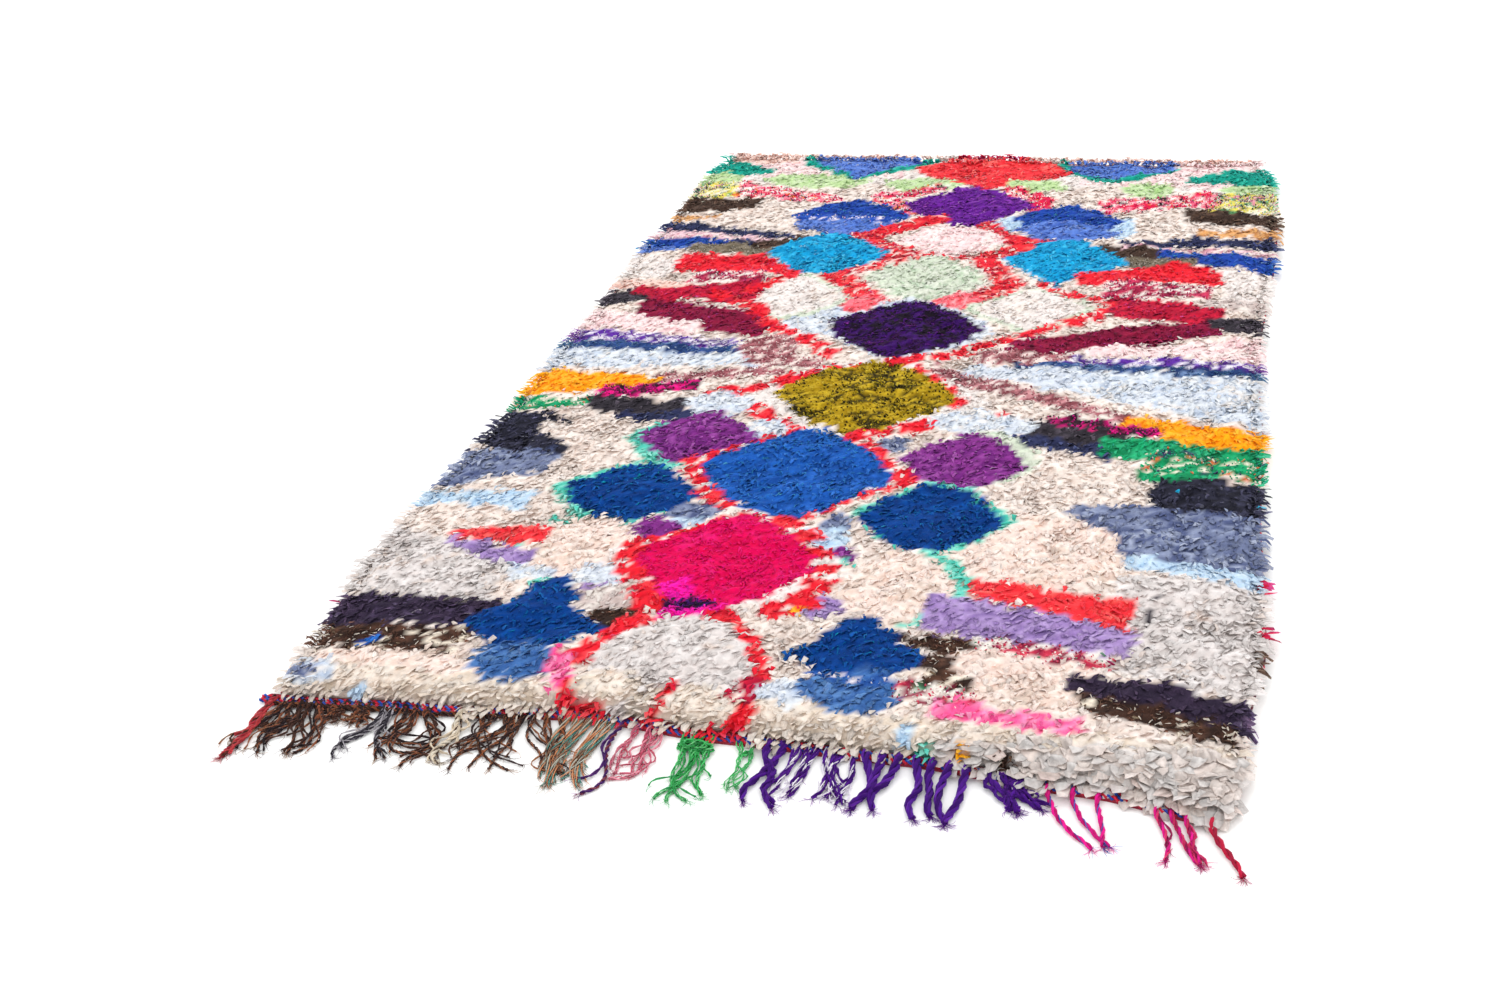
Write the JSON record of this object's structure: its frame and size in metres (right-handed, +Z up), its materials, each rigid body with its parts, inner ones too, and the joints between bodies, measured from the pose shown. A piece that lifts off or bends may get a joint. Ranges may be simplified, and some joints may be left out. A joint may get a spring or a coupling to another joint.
{
  "type": "boucherouite rug",
  "caption": "Shaggy rag rug lying flat, knotted from cut cloth strips in rows of lozenges and stripes, with a woven heading and loose yarn fringe at one end.",
  "frame": {"origin": "on the floor under the middle of the rug's nominal rectangle, in its flat underside", "axes": "+Y along the rug from the fringed end to the plain end, +X across it to the right as seen from the fringed end, +Z up"},
  "size_m": [1.4588, 2.6895, 0.0415],
  "materials": {
    "rag_pile": "cut cotton and jersey rags knotted into a shaggy many-coloured pile, matt",
    "warp_fringe": "twisted wool and acrylic yarn in dark purples, browns, greens and reds, matt and fuzzy",
    "ground_weave": "plain woven ground cloth of red, blue and undyed yarn, matt"
  },
  "bodies": {
    "root": {"rug_pile": "rag_pile", "fringed_heading": "warp_fringe"}
  },
  "joints": []
}
